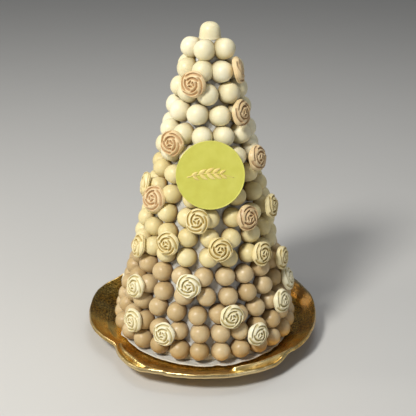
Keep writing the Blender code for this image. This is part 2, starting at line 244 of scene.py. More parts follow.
def makeChocolate(name):
    # couverture from polished moulds: a satin skin with cloudy patches and tiny bubbles
    body, pale, deep, shadeColour, matt = chocolateLooks[name]
    skin = chocolateSkin
    material, tree, shader, place = startMaterial(name)
    mottle = addNode(tree, "ShaderNodeTexNoise",
                     {"Vector": place, "Scale": 1 / skin["mottle"], "Detail": 3.0}, "Fac")
    scuff = addNode(tree, "ShaderNodeTexNoise",
                    {"Vector": place, "Scale": 1 / skin["scuff"], "Detail": 4.0, "Roughness": 0.6}, "Fac")
    fine = addNode(tree, "ShaderNodeTexNoise",
                   {"Vector": place, "Scale": 1 / skin["grain"], "Detail": 2.0}, "Fac")
    pores = addNode(tree, "ShaderNodeTexVoronoi",
                    {"Vector": place, "Scale": 1 / skin["pore"]}, "Distance")
    tone, paintedShade = (addNode(tree, "ShaderNodeAttribute", out="Fac", attribute_name=label)
                    for label in ("castTone", "paintedShade"))
    # tone and cloudy patches together pick between deep and pale
    cloud = addNode(tree, "ShaderNodeMapRange", [mottle, *skin["cloudRange"]])
    shift = addNode(tree, "ShaderNodeMath", [tone, *skin["castRange"]], operation="MULTIPLY_ADD")
    pick = addNode(tree, "ShaderNodeMath", [cloud, shift], operation="ADD", use_clamp=True)
    ramp = addNode(tree, "ShaderNodeValToRGB", [pick], None)
    tones = ramp.color_ramp.elements
    tones[0].color, tones[1].color = linear(deep), linear(pale)
    tones.new(0.5).color = linear(body)
    # painted shade: grooves of a relief and the feet of the domes, where casts touch, take the darker
    # shade colour
    colour = addNode(tree, "ShaderNodeMix", {0: paintedShade, 6: ramp.outputs[0], 7: linear(shadeColour)}, 2,
                     data_type="RGBA")
    low, high, silky, dull = skin["mattRange"]
    rough = addNode(tree, "ShaderNodeMapRange", [scuff, low, high, matt + silky, matt + dull])
    pit = addNode(tree, "ShaderNodeMapRange", [pores, *skin["poreEdge"], 0.0, 1.0])
    finishMaterial(tree, shader, skin, {"poreBump": pit, "grainBump": fine, "scuffBump": scuff}, {
        "Base Color": colour,
        "Roughness": rough,
        "Subsurface Weight": skin["lightThrough"],
        "Subsurface Radius": skin["lightReach"],
        "Subsurface Scale": 1.0,
        "IOR": skin["refraction"],
    })
    return material


chocolates = {name: makeChocolate(name) for name in chocolateLooks}

# the tower: rows of casts stuck on a paper cone
tower = {
    "bottomRowZ": 32.0 * mm,
    "bottomRowRadius": 113.0 * mm,
    "lean": radians(13.5),
    "bottomStep": 23.4 * mm,  # between the lowest two rows
    "topStep": 26.2 * mm,  # and the highest two
    # how many casts, and the angle of the first, from the bottom row up
    "rows": ((26, 11), (25, 11), (23, 10), (21, 1), (20, 16), (19, 2), (17, 3), (15, 4),
             (14, 9), (14, 8), (11, 8), (11, 24), (9, 21), (8, 44), (7, 34), (4, -84)),
    "topRow": (-84.0, -18.0, 51.0, 180.0),  # its angles are uneven
    # first and last row, finish, radius of the casts, seed
    "bands": {
        "milk": (0, 4, "milkCouverture", 12.5 * mm, 40),
        "cream": (5, 9, "creamCouverture", 12.5 * mm, 50),
        "ivory": (10, 15, "ivoryCouverture", 13.4 * mm, 60),
    },
}


def rowHeight(row):
    growth = (tower["topStep"] - tower["bottomStep"]) / (len(tower["rows"]) - 2)
    return tower["bottomRowZ"] + row * tower["bottomStep"] + growth * row * (row - 1) / 2


def centreRadius(z):
    return tower["bottomRowRadius"] - (z - tower["bottomRowZ"]) * tan(tower["lean"])


def sidePoint(degrees, z, outward):  # a point off the tower's side, square to it
    lean = tower["lean"]
    return polar(centreRadius(z) + outward * cos(lean), degrees, z + outward * sin(lean))


def sideTurn(degrees):  # +Z off the side, +Y up along it
    turn, lean = radians(degrees), tower["lean"]
    across = Vector((cos(turn), sin(turn), 0.0))
    normal = Vector((sin(turn) * cos(lean), -cos(turn) * cos(lean), sin(lean)))
    return Matrix((across, normal.cross(across), normal)).transposed().to_4x4()


def meshObject(name, points, faces, attributes=None):
    mesh = bpy.data.meshes.new(name)
    mesh.from_pydata([tuple(p) for p in points], [], faces)
    for label, values in (attributes or {}).items():
        layer = mesh.attributes.new(label, "FLOAT", "POINT")
        layer.data.foreach_set("value", np.asarray(values, np.float32))
    mesh.shade_smooth()
    return placeObject(name, mesh)


def settleMesh(obj, merge=True):  # closes seams and turns every face outwards
    work = bmesh.new()
    work.from_mesh(obj.data)
    if merge:
        bmesh.ops.remove_doubles(work, verts=work.verts, dist=seamGap)
    bmesh.ops.recalc_face_normals(work, faces=work.faces)
    work.to_mesh(obj.data)
    work.free()
    obj.data.shade_smooth()


def closeGrid(rows, columns, start=0):  # faces of a grid closed into a ring
    faces = []
    for i in range(rows - 1):
        for k in range(columns):
            a, b = start + i * columns + k, start + i * columns + (k + 1) % columns
            faces.append((a, b, b + columns, a + columns))
    return faces


def makeCastTree():
    # a cast on every seat, facing off the cone's side, each a little different
    tree = bpy.data.node_groups.new("castsOnCone", "GeometryNodeTree")
    tree.is_modifier = True
    for name, kind in (("Seats", "Geometry"), ("Cast", "Object"), ("Lean", "Float"), ("Tilt", "Float"),
                       ("Spin", "Float"), ("Size Spread", "Float"), ("Slip", "Float"), ("Dent", "Float"),
                       ("Dent Size", "Float"), ("Seed", "Int"), ("Chocolate", "Material")):
        tree.interface.new_socket(name=name, in_out="INPUT", socket_type="NodeSocket" + kind)
    tree.interface.new_socket(name="Casts", in_out="OUTPUT", socket_type="NodeSocketGeometry")
    given = addNode(tree, "NodeGroupInput", out=None).outputs

    def spread(size, draw):  # random vector from minus size to size
        less = addNode(tree, "ShaderNodeMath", [size, -1.0], operation="MULTIPLY")
        low = addNode(tree, "ShaderNodeCombineXYZ", [less, less, less])
        high = addNode(tree, "ShaderNodeCombineXYZ", [size, size, size])
        seed = addNode(tree, "ShaderNodeMath", [given["Seed"], float(draw)], operation="ADD")
        return addNode(tree, "FunctionNodeRandomValue", {"Min": low, "Max": high, "Seed": seed},
                       data_type="FLOAT_VECTOR")

    def turnedBy(rotation, angles, space):
        euler = addNode(tree, "FunctionNodeEulerToRotation", [angles])
        return addNode(tree, "FunctionNodeRotateRotation", [rotation, euler], rotation_space=space)

    place = addNode(tree, "GeometryNodeInputPosition")
    level = addNode(tree, "ShaderNodeVectorMath", [place, (1, 1, 0)], operation="MULTIPLY")
    away = addNode(tree, "ShaderNodeVectorMath", [level], operation="NORMALIZE")
    rise = addNode(tree, "ShaderNodeMath", [given["Lean"]], operation="SINE")
    reach = addNode(tree, "ShaderNodeMath", [given["Lean"]], operation="COSINE")
    lift = addNode(tree, "ShaderNodeCombineXYZ", {2: rise})
    sideways = addNode(tree, "ShaderNodeVectorMath", {0: away, "Scale": reach}, operation="SCALE")
    outward = addNode(tree, "ShaderNodeVectorMath", [sideways, lift], operation="ADD")
    faced = addNode(tree, "FunctionNodeAlignRotationToVector", {"Vector": outward}, axis="Z")
    upright = addNode(tree, "FunctionNodeAlignRotationToVector",
                      {"Rotation": faced, "Vector": (0, 0, 1)}, axis="Y", pivot_axis="Z")
    tilt = addNode(tree, "ShaderNodeSeparateXYZ", [spread(given["Tilt"], 1)], None).outputs
    spin = addNode(tree, "ShaderNodeSeparateXYZ", [spread(given["Spin"], 2)], "Z")
    wobble = addNode(tree, "ShaderNodeCombineXYZ", [tilt["X"], tilt["Y"], spin])
    wobbled = turnedBy(upright, wobble, "LOCAL")
    # seats may ask for a further turn
    turn = addNode(tree, "GeometryNodeInputNamedAttribute", {"Name": "turn"}, data_type="FLOAT")
    turned = turnedBy(wobbled, addNode(tree, "ShaderNodeCombineXYZ", {2: turn}), "GLOBAL")
    size = addNode(tree, "ShaderNodeVectorMath", [spread(given["Size Spread"], 3), (1, 1, 1)],
                   operation="ADD")
    slipped = addNode(tree, "GeometryNodeSetPosition",
                      {"Geometry": given["Seats"], "Offset": spread(given["Slip"], 4)})
    cast = addNode(tree, "GeometryNodeObjectInfo", {"Object": given["Cast"], "As Instance": True},
                   "Geometry")
    placed = addNode(tree, "GeometryNodeInstanceOnPoints",
                     {"Points": slipped, "Instance": cast, "Rotation": turned, "Scale": size})
    toneSeed = addNode(tree, "ShaderNodeMath", [given["Seed"], 5.0], operation="ADD")
    tone = addNode(tree, "FunctionNodeRandomValue", {"Seed": toneSeed}, 1, data_type="FLOAT")
    toned = addNode(tree, "GeometryNodeStoreNamedAttribute",
                    {"Geometry": placed, "Name": "castTone", "Value": tone},
                    data_type="FLOAT", domain="INSTANCE")
    real = addNode(tree, "GeometryNodeRealizeInstances", [toned])
    # dents keep any two casts from being alike
    where = addNode(tree, "GeometryNodeInputPosition")
    fineness = addNode(tree, "ShaderNodeMath", [1.0, given["Dent Size"]], operation="DIVIDE")
    dent = addNode(tree, "ShaderNodeTexNoise", {"Vector": where, "Scale": fineness}, "Color")
    around = addNode(tree, "ShaderNodeVectorMath", [dent, (0.5, 0.5, 0.5)], operation="SUBTRACT")
    depth = addNode(tree, "ShaderNodeMath", [given["Dent"], 2.0], operation="MULTIPLY")
    push = addNode(tree, "ShaderNodeVectorMath", {0: around, "Scale": depth}, operation="SCALE")
    uneven = addNode(tree, "GeometryNodeSetPosition", {"Geometry": real, "Offset": push})
    coated = addNode(tree, "GeometryNodeSetMaterial",
                     {"Geometry": uneven, "Material": given["Chocolate"]})
    addNode(tree, "NodeGroupOutput", [coated], None)
    return tree


def setInputs(modifier, values):
    for item in modifier.node_group.interface.items_tree:
        if item.item_type == "SOCKET" and item.in_out == "INPUT" and item.name in values:
            modifier[item.identifier] = values[item.name]


def bakeObject(obj):  # the evaluated result becomes the plain mesh
    graph = bpy.context.evaluated_depsgraph_get()
    baked = bpy.data.meshes.new_from_object(obj.evaluated_get(graph))
    obj.modifiers.clear()
    obj.data = baked


def setCasts(name, seats, cast, choices, finish, attributes=None):
    obj = meshObject(name, seats, [], attributes)
    modifier = obj.modifiers.new("castsOnCone", "NODES")
    modifier.node_group = castTree
    setInputs(modifier, {**choices, "Cast": cast, "Lean": tower["lean"],
                         "Chocolate": chocolates[finish]})
    bakeObject(obj)
    obj.data.shade_smooth()
    bpy.data.objects.remove(cast)
    return obj


castTree = makeCastTree()

# bullet-shaped casts: a round crown on a foot that flares to the mould's rim
domeCast = {
    # control rings: width and height in radii, and how much painted shade (full at the foot, where casts
    # touch)
    "rings": ((1.16, -0.56, 1.0), (1.14, -0.50, 1.0), (1.12, -0.10, 0.28), (1.03, 0.42, 0.0),
              (0.70, 0.86, 0.0)),
    "crown": 1.14,
    "backBulge": 0.1 * mm,
    "sides": 8,
    "refinements": 2,
}
domeSpread = {"Tilt": radians(8.0), "Spin": pi, "Size Spread": 0.025, "Slip": 1.1 * mm,
              "Dent": 0.3 * mm, "Dent Size": 14.0 * mm}


def makeDomeCast(name, radius):
    rings, sides = domeCast["rings"], domeCast["sides"]
    points, shadeShares = [], []
    # painted shade on the foot rings darkens the gaps between touching casts
    for wide, high, deep in rings:
        for k in range(sides):
            turn = tau * k / sides
            points.append((wide * radius * cos(turn), wide * radius * sin(turn), high * radius))
            shadeShares.append(deep)
    faces = closeGrid(len(rings), sides)
    top = len(points) - sides
    points += [(0, 0, domeCast["crown"] * radius), (0, 0, rings[0][1] * radius - domeCast["backBulge"])]
    for k in range(0, sides, 2):
        faces.append((top + k, top + k + 1, top + (k + 2) % sides, len(points) - 2))
        faces.append(((k + 2) % sides, k + 1, k, len(points) - 1))
    return meshObject(name, points, faces, {"paintedShade": shadeShares + [0.0, 1.0]})


for kind, (first, last, finish, radius, seed) in tower["bands"].items():
    cast = makeDomeCast("cast_" + kind, radius)
    seats = []
    for row in range(first, last + 1):
        top = row == len(tower["rows"]) - 1
        angles = tower["topRow"] if top else ringAngles(*tower["rows"][row])
        seats += [sidePoint(angle, rowHeight(row), 0.0) for angle in angles]
    domes = setCasts("chocolateDomes_" + kind, seats, cast, {**domeSpread, "Seed": seed}, finish)
    smooth = domes.modifiers.new("smoothSkin", "SUBSURF")
    smooth.levels = smooth.render_levels = domeCast["refinements"]
    enlist(domes, kind + "_chocolate", ["domes_" + kind])
print("domes set:", sum(count for count, start in tower["rows"]))

# roses: one mould, three chocolates
roseMould = {
    "radius": 15.5,  # mm
    "lobes": (5, 0.45),  # swellings of the outline: how many, and height in mm
    "crown": 10.2,  # mm, height of the middle over the back
    "fall": 3.0,  # mm lower at the outline
    "shoulder": (2.4, 4.4),  # of the rounded edge: width, and level it comes down to
    "fullness": 2.2,  # above 2, the edge is squarer than a round one
    # grooves between the petals: radius, how many, first angle, sweep, slide inward, depth,
    # straightness
    "grooves": ((13.0, 4, 20.0, 112.0, 3.6, 2.6, 0.2), (8.3, 3, 65.0, 140.0, 2.4, 3.2, 0.7),
                (3.9, 3, 10.0, 112.0, 0.8, 3.0, 0.7)),
    "taper": (0.1, 0.2),  # shares of its sweep where a groove begins and fades
    "soft": (0.6, 1.7),  # mm, width of its outer and inner slope
    "deepest": 2.4,  # mm of groove depth, from here on the painted shade is full
    "around": 108,
    "across": 44,
    # side wall: height in mm and how far it stands out past the outline
    "wall": ((3.9, 0.1), (3.3, 0.0), (3.0, -0.7), (2.6, -0.7), (2.2, -0.3), (1.3, -0.7), (0.5, -1.5),
             (0.0, -2.2)),
}


def grooveDepth(theta, radii):
    rose = roseMould
    (begins, fades), (outer, inner) = rose["taper"], rose["soft"]
    cut = np.zeros_like(radii)
    for radius, count, start, sweep, slide, depth, flat in rose["grooves"]:
        for k in range(count):
            t = ((theta - start - 360.0 * k / count) % 360.0) / sweep
            strength = plateau((0, begins, 1 - fades, 1), t) * (t <= 1)
            away = radii - radius - slide * (0.5 - t) + flat * np.sin(np.pi * np.clip(t, 0, 1))
            soft = np.where(away > 0, outer, inner)
            cut = np.maximum(cut, depth * strength * np.exp(-(away / soft) ** 2))
    return cut


def makeRoseCast(size):
    rose = roseMould
    around, across, unit = rose["around"], rose["across"], size * mm
    theta = np.arange(around) * 360.0 / around
    lobes, swell = rose["lobes"]
    outline = rose["radius"] + swell * np.sin(np.radians(lobes * theta))
    wide, low = rose["shoulder"]
    levels = []  # (radius, height, painted shade) for each ring of vertices
    for height, out in reversed(rose["wall"]):
        levels.append((outline + out, np.full_like(theta, height), np.zeros_like(theta)))
    for j in range(across):
        r = outline * (1.0 - j / across)
        cut = grooveDepth(theta, r)
        z = rose["crown"] - rose["fall"] * (r / outline) ** 2 - cut
        z = low + (z - low) * (1 - np.clip((r - outline + wide) / wide, 0, 1) ** rose["fullness"])
        # painted shade grows with the depth of the groove
        levels.append((r, z, np.clip(cut / rose["deepest"], 0, 1)))
    points, paintedShade = [(0, 0, 0)], [0.0]
    for r, z, deep in levels:
        for k, turn in enumerate(np.radians(theta)):
            points.append((r[k] * cos(turn) * unit, r[k] * sin(turn) * unit, z[k] * unit))
            paintedShade.append(deep[k])
    faces = [(0, 1 + (k + 1) % around, 1 + k) for k in range(around)]
    faces += closeGrid(len(levels), around, 1)
    last = 1 + (len(levels) - 1) * around
    points.append((0, 0, rose["crown"] * unit))
    paintedShade.append(0.0)
    faces += [(last + k, last + (k + 1) % around, len(points) - 1) for k in range(around)]
    return meshObject("cast_rose", points, faces, {"paintedShade": paintedShade})


roseSeat = {
    "middle": 18.7 * mm,  # off the domes' centres
    "back": 12.4 * mm,  # sunk a little between their crowns
    # degrees by which a rose faces further from the front than its seat
    "lean": {
        "rose_milk_01": 42.0, "rose_milk_04": 5.0, "rose_milk_07": -12.0, "rose_milk_09": -5.0,
        "rose_milk_12": -16.0, "rose_milk_14": 8.0, "rose_cream_01": 8.0, "rose_cream_04": -4.0,
        "rose_cream_07": -6.0, "rose_cream_11": 3.0, "rose_cream_15": -12.0, "rose_ivory_12": 5.0,
    },
}
roseSpread = {"Tilt": radians(6.0), "Spin": pi, "Size Spread": 0.025, "Slip": 0.5 * mm,
              "Dent": 0.22 * mm, "Dent Size": 9.0 * mm}
roseKinds = {  # finish, size against the mould's, seed
    "milk": ("milkRoseCouverture", 1.07, 90),
    "cream": ("creamRoseCouverture", 1.02, 100),
    "ivory": ("ivoryRoseCouverture", 1.02, 110),
}

for kind, (finish, size, seed) in roseKinds.items():
    cast = makeRoseCast(size)
    names = sorted(name for name in nodes if name.startswith(f"rose_{kind}_"))
    seats, turns = [], []
    for name in names:
        middle, degrees = whereIs(name)
        z = middle.z - roseSeat["middle"] * sin(tower["lean"])
        seats.append(sidePoint(degrees, z, roseSeat["back"]))
        turns.append(radians(copysign(1.0, degrees) * roseSeat["lean"].get(name, 0.0)))
    roses = setCasts("chocolateRoses_" + kind, seats, cast, {**roseSpread, "Seed": seed}, finish,
                     {"turn": turns})
    enlist(roses, kind + "_rose_chocolate", names)
print("roses set")

# upright cast on the tip
tipCast = {
    # radius and height in mm: rim, flared side, round crown
    "profile": ((0, 0), (8, 0), (13.4, 0), (14.0, 0.25), (14.2, 0.8), (14.05, 1.4), (13.7, 2.0),
                (13.5, 4.0), (13.2, 6.5), (12.9, 9.0), (12.5, 11.4), (11.7, 13.8), (10.4, 16.1),
                (8.4, 18.0), (5.9, 19.3), (3.0, 19.9), (0, 20.0)),
    "sides": 48,
    "lean": (1.5, -1.0),  # degrees about X and Y
}


def turnedPiece(name, profile, sides, place, attributes=None):
    points = [place @ polar(max(radius, 0.001) * mm, degrees, height * mm)
              for radius, height in profile for degrees in ringAngles(sides)]
    obj = meshObject(name, points, closeGrid(len(profile), sides), attributes)
    settleMesh(obj)
    return obj


def makeTip():
    leanX, leanY = (radians(angle) for angle in tipCast["lean"])
    foot = Matrix.Translation((0, 0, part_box("tip_chocolate")[0].z))
    place = foot @ Euler((leanX, leanY, 0)).to_matrix().to_4x4()
    tip = turnedPiece("tipChocolate", tipCast["profile"], tipCast["sides"], place)
    enlist(tip, "ivory_chocolate", ["tip_chocolate"], chocolates["ivoryCouverture"])


makeTip()

# plaque: a disc cast flat, with a thin raised edge; sizes in mm
plaqueCast = {
    "radius": 42.7,
    "thickness": 5.0,
    "lip": 0.35,  # how far the edge stands over the face
    # rounded corner of the back: inside the outline, and over the back
    "backEdge": ((1.2, 0.0), (0.5, 0.25), (0.1, 1.0)),
    # raised edge: inside the outline, and below its top
    "lipEdge": ((0.0, 0.9), (0.15, 0.3), (0.45, 0.0), (0.95, 0.02)),
    "lipFoot": (1.35, 0.05),  # inside the outline, and over the face
    "faceInset": 1.8,
    "faceRings": 26,
    "sides": 144,
    "tones": (0.5, 1.0),  # of the cast, and of its edge, painted paler as a highlight
}


def makePlaque():
    cast = plaqueCast
    middle, degrees = whereIs("plaque")
    radius, half, rings = cast["radius"], cast["thickness"] / 2, cast["faceRings"]
    face = half - cast["lip"]
    back = [(0, -half), (radius * 0.5, -half)]
    back += [(radius - inset, -half + rise) for inset, rise in cast["backEdge"]] + [(radius, 0)]
    edge = [(radius - inset, half - drop) for inset, drop in cast["lipEdge"]]
    edge.append((radius - cast["lipFoot"][0], face + cast["lipFoot"][1]))
    inner = radius - cast["faceInset"]
    front = [(inner * (1 - j / rings), face) for j in range(rings + 1)]
    plain, wearAndHighlight = cast["tones"]
    # painted highlight: the raised edge takes the paler tone
    tones = [plain] * len(back) + [wearAndHighlight] * len(edge) + [plain] * len(front)
    place = Matrix.Translation(middle) @ sideTurn(degrees)
    disc = turnedPiece("plaqueDisc", back + edge + front, cast["sides"], place,
                       {"castTone": [tone for tone in tones for k in range(cast["sides"])]})
    enlist(disc, "lime_chocolate", ["plaque"], chocolates["limeCouverture"])
    return place @ Matrix.Translation((0, 0, face * mm))


plaqueFace = makePlaque()

# raised leaf spray on the plaque; sizes in mm
sprayRelief = {
    "length": 58.0,
    "rise": 5.0,  # bow of the stem
    "stem": (0.8, 0.6, 0.75),  # half its width, share lost along it, height
    "stemSteps": 24,
    "pairs": 5,
    "spacing": 8.6,
    "firstPair": 0.6,  # spacings from the foot of the stem
    "sides": ((-1, 2.2), (1, 0.5)),  # of a pair, and how far along each leaf is moved
    "leaf": 13.0,  # length of the longest leaves
    "leafSizes": (0.62, 0.38),  # of the first and last, and what the middle ones gain
    "leafSteps": 12,
    "splay": 38.0,  # degrees a leaf leans from the stem
    "straighten": (1.15, 0.5),  # share of the splay at its foot, and what is lost
    "leafWidth": (0.12, 0.19, 0.9),  # half its width: least, gain in leaf lengths, power
    "leafHeight": (0.15, 0.85, 0.5),  # least, gain, power
    "fullest": 0.8,  # below 1, a leaf is broadest nearer its foot
    "rootDepth": 0.3,  # sunk into the plaque
}


def sprayPoint(along):
    length, rise = sprayRelief["length"], sprayRelief["rise"]
    return Vector((along - length / 2, rise * sin(pi * along / length) - rise / 2, 0.0))


def reliefStrip(centres, widths, heights, across=8):
    # a rounded ridge along a line, closed underneath
    points, faces = [], []
    for j, centre in enumerate(centres):
        ahead = centres[min(j + 1, len(centres) - 1)] - centres[max(j - 1, 0)]
        side = Vector((-ahead.y, ahead.x, 0)).normalized()
        for k in range(across + 1):
            share = k / across * 2 - 1
            lift = heights[j] * sqrt(max(0.0, 1 - share * share))
            points.append(centre + side * widths[j] * share + Vector((0, 0, lift)))
        points.append(centre + Vector((0, 0, -sprayRelief["rootDepth"])))
    width = across + 2
    for j in range(len(centres) - 1):
        for k in range(width):
            a, b = j * width + k, j * width + (k + 1) % width
            faces.append((a, a + width, b + width, b))
    faces.append(tuple(range(width)))
    faces.append(tuple(reversed(range(len(points) - width, len(points)))))
    return points, faces


def sprayLeaf(start, length, side):  # line, half widths and heights of one leaf
    spray = sprayRelief
    steps = spray["leafSteps"]
    foot, lost = spray["straighten"]
    thin, wide, widthPower = spray["leafWidth"]
    low, high, heightPower = spray["leafHeight"]
    line, widths, heights = [], [], []
    for k in range(steps + 1):
        t = k / steps
        lean = radians(spray["splay"] * (foot - lost * t)) * side
        ahead = Vector((cos(lean), sin(lean), 0)) * length / steps
        line.append(line[-1] + ahead if line else start)
        swell = sin(pi * t ** spray["fullest"])
        widths.append(thin + length * wide * swell ** widthPower)
        heights.append(low + high * swell ** heightPower)
    return line, widths, heights


def makeSpray(place):
    spray = sprayRelief
    steps = spray["stemSteps"]
    width, lost, height = spray["stem"]
    stem = [sprayPoint(spray["length"] * k / steps) for k in range(steps + 1)]
    widths = [width * (1.0 - lost * k / steps) for k in range(steps + 1)]
    strips = [(stem, widths, [height] * (steps + 1))]
    least, gain = spray["leafSizes"]
    for pair in range(spray["pairs"]):
        root = spray["spacing"] * (pair + spray["firstPair"])
        length = spray["leaf"] * (least + gain * sin(pi * (pair + 0.5) / spray["pairs"]))
        for side, along in spray["sides"]:
            strips.append(sprayLeaf(sprayPoint(root + along), length, side))
    points, faces = [], []
    for centres, wide, high in strips:
        some, more = reliefStrip(centres, wide, high)
        faces += [tuple(len(points) + v for v in face) for face in more]
        points += [place @ (p * mm) for p in some]
    obj = meshObject("leafSpray", points, faces)
    settleMesh(obj, merge=False)
    enlist(obj, "gold_relief", ["plaque_spray"], chocolates["goldenRelief"])


makeSpray(plaqueFace)
print("tip, plaque and leaf spray cast")

# paper
paperLook = {
    "white": "#dddcd5",
    "shade": "#b4b3ab",
    "crease": 7.0 * mm,  # size of the facets between creases
    "finer": 2.3,  # times smaller, for the small facets
    "fibre": 0.9 * mm,
    "roughness": 0.42,
    # strength and depth
    "creaseBump": (0.9, 1.3 * mm),
    "finerBump": (0.6, 0.5 * mm),
    "fibreBump": (0.4, 0.08 * mm),
}


def makePaper():
    # greaseproof tissue, crumpled and smoothed on: satin white facets
    look = paperLook
    material, tree, shader, place = startMaterial("crumpledTissue")
    facets = addNode(tree, "ShaderNodeTexVoronoi",
                     {"Vector": place, "Scale": 1 / look["crease"]}, "Distance")
    small = addNode(tree, "ShaderNodeTexVoronoi",
                    {"Vector": place, "Scale": look["finer"] / look["crease"]}, "Distance")
    fibre = addNode(tree, "ShaderNodeTexNoise",
                    {"Vector": place, "Scale": 1 / look["fibre"], "Detail": 3.0}, "Fac")
    tint = addNode(tree, "ShaderNodeMix",
                   {0: fibre, 6: linear(look["shade"]), 7: linear(look["white"])}, 2, data_type="RGBA")
    finishMaterial(tree, shader, look, {"creaseBump": facets, "finerBump": small, "fibreBump": fibre},
                   {"Base Color": tint, "Roughness": look["roughness"]})
    return material


paper = makePaper()
creaseForm = {
    "steep": 1.4,
    "facets": 0.6,  # share of the height in flat facets
    "swells": 0.4,  # and in soft swells
    "swellSize": 1.7,  # against the facets
}
coneWrap = {
    "back": 6.4,  # mm from the domes' centres back to the paper
    "crumple": 2.2,  # mm, height of the creases
    "facets": ((9.0, 1.0), (4.0, 0.5)),  # size in mm, and share of the height
    "level": 0.9,  # height that counts as the plain cone
    "around": 280,
    "up": 190,
}
skirtForm = {
    "radius": 119.5,  # mm, mean
    "wave": 3.0,  # mm further out at front and back than at the sides
    "lobes": (0.8, 5, 0.6),  # height in mm, how many, turn in radians
    "uneven": ((1.1, 4, 3.1), (0.6, 15, 7.7)),  # height in mm, fineness, layer of noise
    "nick": (9.0, 4.5, 2.6),  # angle, half width in degrees, depth in mm
    "corner": (-67.0, 5.0, 3.2),  # angle, half width in degrees, how far it stands out
    "thick": 0.9,
    "rise": 0.9,  # mm over the top of the board
    "droop": (96.0, 0.045),  # radius in mm where it starts to fall, and its slope
    "curl": (0.8, 3.0, 14.0),  # height, breadth and length of the edge's curled places
    "ripple": (0.7, 16.0),  # height and size in mm
    "crumple": (0.8, 8.0, 0.6),  # height, size of the facets, level that counts as flat
    "calm": 60.0,  # mm from the middle, where it lies flatter
    "roughShare": 0.8,
    "crowding": 0.7,  # below 1, the rings crowd towards the edge
    "around": 420,
    "rings": 34,
    "clearance": 0.1,  # mm over the underside of the board
}


def creases(point, size):  # height of crumpled paper, 0 to about 1, in facets of that size
    form = creaseForm
    spots = noise.voronoi(point / size, distance_metric="DISTANCE")[0]
    facet = min(1.0, (spots[1] - spots[0]) * form["steep"])
    swell = 0.5 + 0.5 * noise.noise(point / (form["swellSize"] * size))
    return facet * form["facets"] + form["swells"] * swell


def makePaperCone():
    wrap = coneWrap
    low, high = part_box("paper_cone")
    around, up, slant = wrap["around"], wrap["up"], cos(tower["lean"])
    points = []
    for j in range(up + 1):
        z = low.z + (high.z - low.z) * j / up
        for degrees in ringAngles(around):
            base = polar(centreRadius(z), degrees, z)
            height = sum(share * creases(base, size * mm) for size, share in wrap["facets"])
            lift = (height - wrap["level"]) * wrap["crumple"] * mm
            points.append(polar(centreRadius(z) - (wrap["back"] * mm - lift) / slant, degrees, z))
    faces = closeGrid(up + 1, around)
    points += [(0, 0, low.z), (0, 0, high.z)]
    faces += [((k + 1) % around, k, len(points) - 2) for k in range(around)]
    faces += [(up * around + k, up * around + (k + 1) % around, len(points) - 1) for k in range(around)]
    cone = meshObject("paperCone", points, faces)
    enlist(cone, "white_paper", ["paper_cone"], paper)


def skirtRadius(degrees):
    form = skirtForm
    turn = radians(degrees)
    swell, lobes, phase = form["lobes"]
    radius = form["radius"] + form["wave"] * cos(2 * turn) + swell * sin(lobes * turn + phase)
    for height, fineness, layer in form["uneven"]:
        radius += height * ringNoise(degrees, fineness, layer)
    at, half, depth = form["nick"]
    radius -= depth * max(0.0, 1 - abs(anglePast(degrees, at)) / half)
    at, half, out = form["corner"]
    return radius + out * max(0.0, 1 - abs(anglePast(degrees, at)) / half)


def skirtHeight(radius, degrees, edge):
    form = skirtForm
    base = polar(radius, degrees, 0.0)
    start, slope = form["droop"]
    height, breadth, length = form["curl"]
    inward = (edge - radius) / (breadth * mm)
    curl = height * mm * exp(-inward * inward) * (0.5 + noise.noise(base / (length * mm)))
    height, size = form["ripple"]
    rough = height * mm * noise.noise(base / (size * mm))
    height, size, level = form["crumple"]
    rough += height * mm * (creases(base, size * mm) - level)
    rough *= min(1.0, radius / (form["calm"] * mm))
    droop = max(0.0, radius - start * mm) * slope
    return form["rise"] * mm - droop + curl + rough * form["roughShare"]


def makeSkirt():
    form = skirtForm
    low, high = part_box("paper_board")
    around, rings = form["around"], form["rings"]
    points = []
    for j in range(rings + 1):
        for degrees in ringAngles(around):
            edge = skirtRadius(degrees) * mm
            radius = edge * (j / rings) ** form["crowding"]
            points.append(polar(radius, degrees, high.z + skirtHeight(radius, degrees, edge)))
    count = len(points)
    floor, thick = low.z + form["clearance"] * mm, form["thick"] * mm
    points += [Vector((p.x, p.y, max(floor, p.z - thick))) for p in points]
    faces = closeGrid(rings + 1, around)
    faces += [tuple(reversed([v + count for v in face])) for face in faces]
    for k in range(around):
        a, b = rings * around + k, rings * around + (k + 1) % around
        faces.append((b + count, a + count, a, b))
    skirt = meshObject("paperSkirt", points, faces)
    settleMesh(skirt)
    enlist(skirt, "white_paper", ["paper_board"], paper)


makePaperCone()
makeSkirt()
print("paper crumpled")

# dish
brassLook = {
    "gold": "#ffdf84",
    "brown": "#e8ad40",
    "patina": "#4c3c19",
    # colour of rubbed metal with its painted highlight
    "wearAndHighlight": "#fde4a6",
    # colour of the painted silvery reflection
    "paintedReflection": "#c9bea6",
    "wave": 13.0 * mm,  # left by the casting and the polishing
    "streak": 1.6 * mm,  # width of the brushed streaks
    "streakLength": 46.0 * mm,
    "cloud": 26.0 * mm,  # size of the brown clouds
    "speck": 2.6 * mm,
    "streakWeight": 0.5,  # against the clouds
    # from a range of noise to a range of effect
    "goldRange": (0.62, 0.92, 0.0, 1.0),
    "speckRange": (0.33, 0.66, 0.2, 1.05),
    "rubRange": (0.35, 0.65, 0.65, 1.15),
    "roughRange": (0.3, 0.7, 0.22, 0.4),
    # strength and depth
    "waveBump": (0.8, 1.3 * mm),
    "streakBump": (0.35, 0.25 * mm),
    "speckBump": (0.45, 0.3 * mm),
}


